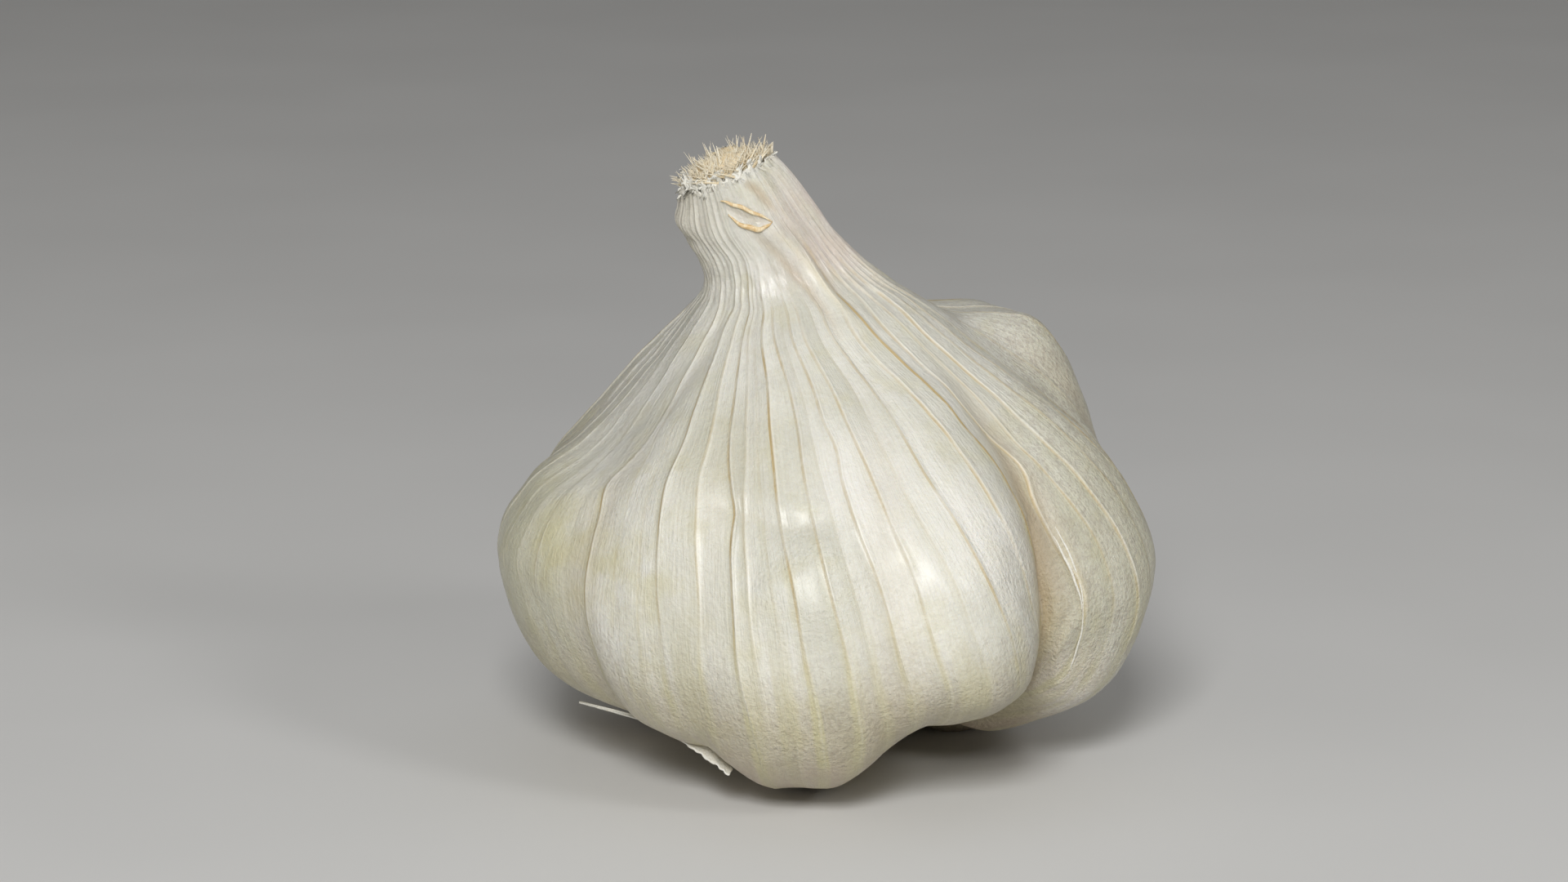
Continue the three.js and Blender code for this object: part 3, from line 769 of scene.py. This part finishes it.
class MakeSkin(bpy.types.Operator):
    """Model the veined skin over the cloves and up the neck"""

    bl_idname = "garlic.make_skin"
    bl_label = "Skin"

    ROWS = 196
    RIM_ROW = 11.4  # above it, the skin is ragged

    def execute(self, context):
        settings, _, _ = scene_settings()
        stations = self.stations()
        columns = VEIN_COUNT * COLUMNS_PER_VEIN
        piece = added(
            "bulb_skin", bpy.ops.mesh.primitive_uv_sphere_add, segments=columns, ring_count=len(stations) + 1
        )
        ball = unit(vertex_places(piece))
        ring = np.rint(np.arccos(-ball[:, 2]) / math.pi * (len(stations) + 1)).astype(int) - 1
        column = np.rint(np.arctan2(ball[:, 1], ball[:, 0]) / (2 * math.pi) * columns).astype(int) % columns
        places, facts = self.shape(stations, columns, settings)
        low, high = np.array((0, 0, PLATE_HEIGHT + DISH_DEPTH)), cut_point(0.0, 0.0, -SOCKET_DEPTH)
        inside = np.clip(ring, 0, len(stations) - 1)
        moved = places[inside, column]
        moved[ring < 0] = low
        moved[ring >= len(stations)] = high
        place_vertices(piece, moved)
        for name, values in facts.items():
            set_attribute(piece, name, values[inside, column])
        self.unwrap(piece, stations, ring, column, columns)
        finished(piece, made_material(papery_skin, settings), "skin", "bulb")
        return {"FINISHED"}

    def stations(self):
        """Rows from the dish underneath to the socket in the neck, closer together where the skin curves most."""
        s = np.linspace(0, 1, self.ROWS)
        return np.concatenate([[-1.0], TOP_ROW * (s - 0.035 * np.sin(2 * math.pi * s)), [12.5, 13.0]])

    def spread(self, columns):
        """Each column's vein number, with more columns close to a vein than between two."""
        x = np.arange(columns) / COLUMNS_PER_VEIN
        f = x - np.floor(x)
        return x - 0.74 * np.sin(2 * math.pi * f) / (2 * math.pi)

    def shape(self, stations, columns, settings):
        u = np.broadcast_to(self.spread(columns), (len(stations), columns))
        row = np.clip(stations, 0, TOP_ROW)[:, None] * np.ones(columns)
        azimuth = vein_azimuth(u, row)
        points = bare_skin(azimuth, row)
        k = np.floor(u).astype(int)
        ends = [bare_skin(vein_azimuth(k + step * 0.999999, row), row) for step in (0, 1)]
        pitch = np.linalg.norm(ends[1] - ends[0], axis=-1)
        stand, facts = skin_relief(u, row, azimuth, points, pitch, settings)
        stand = np.where(row > 11.6, np.minimum(stand, 0.25), stand)
        places = points + stand[..., None] * skin_normal(azimuth, row)
        rim = row[:, 0] > self.RIM_ROW
        jag = 0.2 * np.sin(azimuth * 0.61) + 0.2 * np.sin(azimuth * 1.7 + 2) + 0.3 * (draw(k, 31) - 0.5)
        frayed = 0.2 + 0.4 * bell(half_turn(azimuth + 40), 35)
        places[rim, :, 2] += ((jag - frayed) * ease((row - self.RIM_ROW) / 0.6))[rim]
        turn = np.radians(azimuth[0])
        dish = [DISH_RADIUS * np.sin(turn), -DISH_RADIUS * np.cos(turn), np.full(columns, PLATE_HEIGHT + DISH_DEPTH)]
        places[0] = np.stack(dish, -1)
        places[-2] = cut_point(azimuth[-2], SOCKET_RADIUS, -0.5)
        places[-1] = cut_point(azimuth[-1], SOCKET_RADIUS, -SOCKET_DEPTH)
        places[..., 2] = np.maximum(places[..., 2], 0)
        sunk = self.sunk(azimuth) * ease((row - 0.8) / 1.5) * ease((7 - row) / 2)
        return places, {"pitch": np.maximum(pitch, 0.2), "groove": sunk, **facts}

    def sunk(self, azimuth):
        """How deep between two cloves an azimuth is, 0 to 1 for the deepest groove."""
        at = np.array([c[0] for c in CLOVES] + [CLOVES[0][0] + 360], float)
        deepest = max(clove[4] for clove in CLOVES)
        total = np.zeros(azimuth.shape)
        for k, clove in enumerate(CLOVES):
            middle = at[k] + (at[k + 1] - at[k]) * clove[5][1]
            away = np.abs(half_turn(azimuth - middle))
            total += clove[4] / deepest * bell(away, 4.5)
        return total

    def unwrap(self, piece, stations, ring, column, columns):
        """Lays the piece's UV map out along its veins: U counts veins, V counts rows."""
        spread = np.append(self.spread(columns), VEIN_COUNT)
        rows = np.concatenate([[0], np.clip(stations, 0, TOP_ROW), [TOP_ROW]])
        mesh = piece.data
        corner = np.empty(len(mesh.loops), np.int32)
        mesh.loops.foreach_get("vertex_index", corner)
        total = np.empty(len(mesh.polygons), np.int32)
        mesh.polygons.foreach_get("loop_total", total)
        face = np.repeat(np.arange(len(total)), total)
        pole = (ring[corner] < 0) | (ring[corner] >= len(stations))
        side, at = face[~pole], column[corner]
        # The last column's faces come round to the first one, which is then the map's right edge for them.
        last, first = np.zeros(len(total), bool), np.zeros(len(total), bool)
        np.logical_or.at(last, side, at[~pole] == columns - 1)
        np.logical_or.at(first, side, at[~pole] == 0)
        u = spread[np.where((at == 0) & (last & first)[face], columns, at)] / VEIN_COUNT
        # A corner at a pole takes the lowest U of its face.
        low = np.full(len(total), 2.0)
        np.minimum.at(low, side, u[~pole])
        u[pole] = low[face][pole]
        uv = np.stack([u, rows[ring[corner] + 1] / TOP_ROW], -1)
        mesh.uv_layers.active.data.foreach_set("uv", uv.astype(np.float32).ravel())


class MakeTornRim(bpy.types.Operator):
    """Model the ragged layers of skin and the white crumbs round the cut"""

    bl_idname = "garlic.make_torn_rim"
    bl_label = "Torn rim"

    # Each layer's radius from the cut's middle, how high it stands, how much that changes, and how far it flares.
    LAYERS = ((4.05, 0.0, 0.35, 0.1), (3.65, 0.1, 0.45, 0.05), (3.12, 0.2, 0.5, 0.0))
    CRUMBS = 44

    def execute(self, context):
        settings, _, _ = scene_settings()
        thickness = settings.tear_thickness / MM
        layers = [self.layer(k, thickness) for k in range(len(self.LAYERS))]
        crumbs = [self.crumb(k, thickness) for k in range(self.CRUMBS)]
        piece = joined("torn_rim", layers + crumbs)
        finished(piece, made_material(torn_paper, settings), "skin")
        return {"FINISHED"}

    def layer(self, n, thickness):
        radius, height, jag, flare = self.LAYERS[n]

        def shape(s, t):
            azimuth = 360 * (s % 1.0)
            turn = np.radians(azimuth)
            tooth = 0.35 * np.sin(7 * turn + n) + 0.3 * np.sin(17 * turn + 2.1 * n) + 0.35 * np.sin(41 * turn + n * n)
            tooth += 0.5 * (draw(np.floor(azimuth * 0.31), 40 + n) - 0.5)
            top = height + jag * tooth
            lift = -1.0 + (top + 1.0) * t
            bent = flare * t**2 * (1 + 0.6 * np.sin(5 * turn + n)) + 0.12 * np.sin(23 * turn + 3 * t) * t
            return cut_point(azimuth, radius + bent, lift)

        return sheet(f"rim_layer_{n}", 200, 8, shape, thickness, closed=True)

    def crumb(self, n, thickness):
        azimuth = -95 + 150 * draw(n, 50) if n % 4 else 360 * draw(n, 50)
        radius = 3.6 + 0.7 * draw(n, 51)
        size = 0.35 + 0.5 * draw(n, 52) ** 2 if n > 5 else 0.85
        centre = cut_point(azimuth, radius, -0.35 + 0.75 * draw(n, 53))
        a, b, c = (2 * math.pi * draw(n, kind) for kind in (54, 55, 56))
        # Each lies more or less upright, its broad side outward.
        turn = math.radians(azimuth)
        out = unit(np.array([math.sin(turn), -math.cos(turn), 0.5 * math.sin(a)]))
        two = unit(np.cross(out, [0.5 * math.sin(b), 0.3, 1.0]))
        one = np.cross(two, out)

        def shape(s, t):
            p, q = 2 * s - 1, 2 * t - 1
            p = p * (1 + 0.35 * np.sin(5 * q + a))
            q = q * (0.7 + 0.3 * np.sin(4 * p + b))
            curl = 0.35 * p**2 + 0.25 * q * p + 0.12 * np.sin(6 * p + c)
            return centre + size * (p[:, None] * one + 0.55 * q[:, None] * two + curl[:, None] * out)

        return sheet(f"crumb_{n}", 5, 4, shape, thickness)


class MakeStalk(bpy.types.Operator):
    """Model the cut stalk and the fibres that stand out of it"""

    bl_idname = "garlic.make_stalk"
    bl_label = "Cut stalk"

    def execute(self, context):
        _, settings, _ = scene_settings()
        radius = SOCKET_RADIUS - 0.3
        plug = added("plug", bpy.ops.mesh.primitive_uv_sphere_add, segments=48, ring_count=24)
        ball = vertex_places(plug)
        azimuth = np.degrees(np.arctan2(ball[:, 0], -ball[:, 1]))
        flat = np.hypot(ball[:, 0], ball[:, 1])
        grown = cut_point(azimuth, radius * np.minimum(flat, 1), 1.9 * ball[:, 2])
        grown += 0.2 * ripple(grown, 1.1, 61)[:, None]
        place_vertices(plug, grown)
        set_attribute(plug, "tip", 0.0)
        set_attribute(plug, "tint", 0.3 + 0.3 * ripple(grown, 1.5, 62))
        blade = added("blade", bpy.ops.mesh.primitive_cylinder_add, vertices=4, radius=1, depth=2)
        in_edit_mode(blade, (bpy.ops.mesh.subdivide, {"number_cuts": 2}))
        fibres = [self.fibre(blade, n, settings.fibres, radius) for n in range(settings.fibres + settings.frayed)]
        bpy.data.objects.remove(blade)
        piece = joined("stalk_fibres", [plug, *fibres])
        finished(piece, made_material(cut_fibre, settings), "stalk", "neck_stalk")
        return {"FINISHED"}

    def fibre(self, blade, n, count, radius):
        """One fibre: a copy of the blade, thinned to a tip and bent over."""
        share = math.sqrt((n + 0.5) / count) if n < count else 1.12 + 0.12 * draw(n, 69)
        azimuth = GOLDEN_ANGLE * n
        mound = 1 - 0.75 * share**2
        tall = (1.5 + 0.8 * draw(n, 63) + 0.9 * (draw(n, 63) > 0.96)) * (0.55 + 0.45 * mound)
        root = cut_point(azimuth, (radius + 0.15) * share, -0.7)
        clump = 0.5 * math.sin(0.9 * root[0] + 0.7 * root[1]) + 0.5 * draw(n, 64)
        lean = 0.5 * share + 1.3 * (clump - 0.25)
        tip = cut_point(azimuth + 110 * (draw(n, 65) - 0.5), (radius + 0.15) * share + lean, tall)
        side = cut_point(azimuth + 90, 1.0, 0.0) - cut_point(0.0, 0.0, 0.0)
        bow = side * (draw(n, 66) - 0.5) * 1.1
        thick = 0.09 + 0.17 * draw(n, 67) ** 3
        body = vertex_places(blade)
        t = (body[:, 2] + 1) / 2
        along = unit(tip - root)
        one = unit(np.cross(along, (0.3, 1.0, 0.1)))
        two = np.cross(along, one)
        wide = thick * (1 - 0.85 * t**1.5)
        spine = root + (tip - root) * t[:, None] + bow * (t * t)[:, None]
        places = spine + (wide * body[:, 0])[:, None] * one + (wide * 0.6 * body[:, 1])[:, None] * two
        return copied(blade, places, t, draw(n, 68))


class MakeRootPlate(bpy.types.Operator):
    """Model the corky root plate with its trimmed roots"""

    bl_idname = "garlic.make_root_plate"
    bl_label = "Root plate"

    def execute(self, context):
        _, settings, _ = scene_settings()
        radius = DISH_RADIUS - 0.3
        plate = added("plate", bpy.ops.mesh.primitive_uv_sphere_add, segments=96, ring_count=48)
        ball = vertex_places(plate)
        turn = np.arctan2(ball[:, 1], ball[:, 0])
        flat = np.hypot(ball[:, 0], ball[:, 1])
        below = 2.75 - 0.75 * np.maximum(-ball[:, 2], 0) ** 0.6
        height = np.where(ball[:, 2] < 0, below, 2.75 + 0.95 * np.maximum(ball[:, 2], 0) ** 0.4)
        wide = radius * np.minimum(flat * 1.02, 1)
        places = np.stack([wide * np.cos(turn), wide * np.sin(turn), height], -1)
        places[:, 2] += np.where(ball[:, 2] < 0, 0.16 * ripple(places, 1.6, 71) + 0.1 * np.sin(3.2 * wide), 0)
        place_vertices(plate, places)
        set_attribute(plate, "tip", 0.0)
        set_attribute(plate, "tint", 0.3 + 0.3 * ripple(places, 2.0, 72))
        stub = added("stub", bpy.ops.mesh.primitive_cylinder_add, vertices=5, radius=1, depth=2)
        in_edit_mode(stub, (bpy.ops.mesh.subdivide, {"number_cuts": 2}))
        roots = [self.root(stub, n, settings.roots) for n in range(settings.roots)]
        bpy.data.objects.remove(stub)
        piece = joined("root_stubs", [plate, *roots])
        finished(piece, made_material(dry_root, settings), "root", "root_plate")
        return {"FINISHED"}

    def root(self, stub, n, count):
        share = math.sqrt((n + 0.5) / count)
        azimuth = math.radians(GOLDEN_ANGLE * n)
        start = 5.2 * share
        end = start + 0.9 * (draw(n, 73) - 0.3) * share
        low = 2.0 - 1.5 * (0.25 + 0.75 * draw(n, 74))
        twist = azimuth + 0.25 * (draw(n, 75) - 0.5)
        root = np.array([start * math.sin(azimuth), -start * math.cos(azimuth), 2.8])
        tip = np.array([end * math.sin(twist), -end * math.cos(twist), max(low, 0.35)])
        thick = 0.2 + 0.26 * draw(n, 76)
        body = vertex_places(stub)
        t = (body[:, 2] + 1) / 2
        wide = thick * (1 - 0.25 * t) * (1 + 0.12 * np.sin(9 * t + n))
        sway = 0.18 * np.sin(3 * t + n)
        places = root + (tip - root) * t[:, None]
        places[:, 0] += wide * body[:, 0] + sway
        places[:, 1] += wide * body[:, 1]
        return copied(stub, places, t, draw(n, 77))


class MakeLooseSkin(bpy.types.Operator):
    """Model the strips of torn outer skin that stand off the bulb"""

    bl_idname = "garlic.make_loose_skin"
    bl_label = "Loose skin"

    # From and to as azimuth, row and how far off the skin in mm, then width in mm and how ragged its edge is.
    STRIPS = (
        ((-42, 2.9, -0.4), (-68, 2.7, 1.15), 0.3, 0.35),
        ((-36, 2.75, -0.4), (-20, 2.85, 1.0), 1.3, 0.7),
        ((-88, 4.25, -0.2), (-90, 3.85, 0.5), 0.4, 0.3),
    )

    def execute(self, context):
        settings, _, _ = scene_settings()
        thickness = settings.tear_thickness / MM
        strips = [self.strip(k, thickness) for k in range(len(self.STRIPS))]
        piece = joined("loose_skin", strips)
        finished(piece, made_material(torn_paper, settings), "skin")
        return {"FINISHED"}

    def strip(self, n, thickness):
        start, end, width, ragged = self.STRIPS[n]
        from_, to = (bare_skin(a, row) + off * skin_normal(a, row) for a, row, off in (start, end))
        facing = np.array((0.0, -0.97, 0.23))
        across = unit(np.cross(facing, unit(to - from_)))
        across *= np.sign(across[2])

        def shape(s, t):
            tooth = 0.4 * np.sin(21 * s + n) + 0.35 * np.sin(47 * s) + 0.4 * (draw(np.floor(31 * s), 80 + n) - 0.5)
            side = width * (1 - 0.6 * s**2) * (t - 0.4 * ragged * tooth * s * np.clip(1 - 2 * t, 0, 1))
            bow = 0.06 * width * np.sin(9 * s + 3 * t)
            places = from_ + (to - from_) * s[:, None] + across * side[:, None]
            places += facing * (bow + 0.4 * (t - 0.5) ** 2 - 0.9 * width * t)[:, None]
            places[:, 2] = np.maximum(places[:, 2], 0.25)
            return places

        return sheet(f"strip_{n}", 60, 10, shape, thickness)


class MakeNeckTear(bpy.types.Operator):
    """Model the amber lips of the small tear in the neck, and the raised folds in the groove on the right"""

    bl_idname = "garlic.make_neck_tear"
    bl_label = "Neck tear and folds"

    # From and to as azimuth and row, how far the line bows in rows, and its half width in mm.
    LIPS = (((-13, 10.98), (23, 10.06), 0.06, 0.2), ((-10, 10.5), (23, 10.06), -0.3, 0.26))

    # The raised folds in the groove, in the same way.
    CRESTS = (
        ((50.9, 4.8), (54.3, 4.02), 0.03, 0.13),
        ((51.6, 4.88), (54.6, 3.95), 0.12, 0.1),
        ((54.3, 4.05), (57.6, 3.2), 0.0, 0.1),
    )

    def execute(self, context):
        settings, _, _ = scene_settings()
        lips = joined("neck_tear", [self.lip(*lip, n) for n, lip in enumerate(self.LIPS)])
        finished(lips, made_material(tear_lip, settings), "skin")
        crests = joined("groove_folds", [self.lip(*crest, n, 0.38) for n, crest in enumerate(self.CRESTS)])
        finished(crests, made_material(torn_paper, settings), "skin")
        return {"FINISHED"}

    def lip(self, start, end, bow, half, n, stand=0.22):
        lip = added(
            f"lip_{n}", bpy.ops.mesh.primitive_cylinder_add, vertices=12, radius=1, depth=2, end_fill_type="TRIFAN"
        )
        in_edit_mode(lip, (bpy.ops.mesh.subdivide, {"number_cuts": 5}), (bpy.ops.mesh.subdivide, {"number_cuts": 3}))
        body = vertex_places(lip)
        s = (body[:, 2] + 1) / 2
        azimuth = start[0] + (end[0] - start[0]) * s
        row = start[1] + (end[1] - start[1]) * s + 4 * bow * s * (1 - s)
        middle, out = bare_skin(azimuth, row), skin_normal(azimuth, row)
        thin = half * np.clip(np.sin(math.pi * np.clip(s, 0.03, 0.97)), 0.15, 1) ** 0.6
        wave = 0.06 * np.sin(17 * s + n)
        across = unit(np.cross(out, middle[s.argmax()] - middle[s.argmin()]))
        places = middle + out * (stand + 0.9 * thin * body[:, 0])[:, None]
        places += across * (thin * body[:, 1] + wave * half * 4)[:, None]
        place_vertices(lip, places)
        return lip


class SetStudio(bpy.types.Operator):
    """Set out the plain floor, the soft lights and the camera"""

    bl_idname = "garlic.set_studio"
    bl_label = "Studio"

    AIM = np.array((-3.9, 0.0, 30.0))
    FOCAL_PIXELS, IMAGE_WIDTH, SENSOR = 5784.0, 1920, 36.0
    # Each light's place from the bulb and its size in metres, then whose power it takes and how many times over.
    LIGHTS = (
        ((-0.06, -0.62, 0.41), 0.2, "key_power", 1),
        ((0.48, -0.42, 0.40), 0.15, "side_power", 1),
        ((-0.75, -0.35, 0.5), 0.5, "fill_power", 1),
        ((0.1, 0.25, 0.9), 0.9, "fill_power", 2),
    )
    WORLD_COLOUR, WORLD_STRENGTH = (0.87, 0.86, 0.84, 1), 0.15

    def execute(self, context):
        _, _, settings = scene_settings()
        aim = Vector((self.AIM + CENTRE) * MM)
        floor = added("floor", bpy.ops.mesh.primitive_plane_add, size=4)
        floor.data.materials.append(made_material(plain_floor))
        tilt = settings.camera_elevation
        offset = Vector((0, -math.cos(tilt), math.sin(tilt))) * settings.camera_distance
        bpy.ops.object.camera_add(location=aim + offset)
        camera = context.object
        camera.rotation_euler = (-offset).to_track_quat("-Z", "Y").to_euler()
        camera.data.sensor_width = self.SENSOR
        camera.data.lens = self.FOCAL_PIXELS / self.IMAGE_WIDTH * self.SENSOR
        camera.data.clip_start, camera.data.clip_end = 0.01, 20
        context.scene.camera = camera
        for place, size, name, times in self.LIGHTS:
            self.light(aim, place, size, getattr(settings, name) * times)
        world = bpy.data.worlds.new("studio")
        world.use_nodes = True
        background = world.node_tree.nodes["Background"]
        background.inputs["Color"].default_value = self.WORLD_COLOUR
        background.inputs["Strength"].default_value = self.WORLD_STRENGTH
        context.scene.world = world
        context.scene.view_settings.view_transform = "Standard"
        return {"FINISHED"}

    def light(self, aim, offset, size, power):
        bpy.ops.object.light_add(type="AREA", location=aim + Vector(offset))
        lamp = bpy.context.object
        lamp.data.size, lamp.data.energy = size, power
        lamp.rotation_euler = (-Vector(offset)).to_track_quat("-Z", "Y").to_euler()


class GarlicPanel(bpy.types.Panel):
    """The garlic's pieces and settings"""

    bl_idname = "VIEW3D_PT_garlic"
    bl_label = "Garlic bulb"
    bl_space_type = "VIEW_3D"
    bl_region_type = "UI"
    bl_category = "Garlic"

    def draw(self, context):
        for operator in OPERATORS:
            self.layout.operator(operator.bl_idname)
        for settings in scene_settings():
            box = self.layout.box()
            for name in settings.__annotations__:
                box.prop(settings, name)


OPERATORS = (MakeSkin, MakeTornRim, MakeStalk, MakeRootPlate, MakeLooseSkin, MakeNeckTear, SetStudio)
SETTINGS = {"garlic_skin": SkinSettings, "garlic_stalk": StalkSettings, "garlic_studio": StudioSettings}


def register():
    for made in (*SETTINGS.values(), *OPERATORS, GarlicPanel):
        bpy.utils.register_class(made)
    for name, group in SETTINGS.items():
        setattr(bpy.types.Scene, name, bpy.props.PointerProperty(type=group))


def unregister():
    for name in SETTINGS:
        delattr(bpy.types.Scene, name)
    for made in reversed((*SETTINGS.values(), *OPERATORS, GarlicPanel)):
        bpy.utils.unregister_class(made)


def main():
    register()
    bpy.ops.garlic.make_skin()
    bpy.ops.garlic.make_torn_rim()
    bpy.ops.garlic.make_stalk()
    bpy.ops.garlic.make_root_plate()
    bpy.ops.garlic.make_loose_skin()
    bpy.ops.garlic.make_neck_tear()
    bpy.ops.garlic.set_studio()


if __name__ == "__main__":
    main()
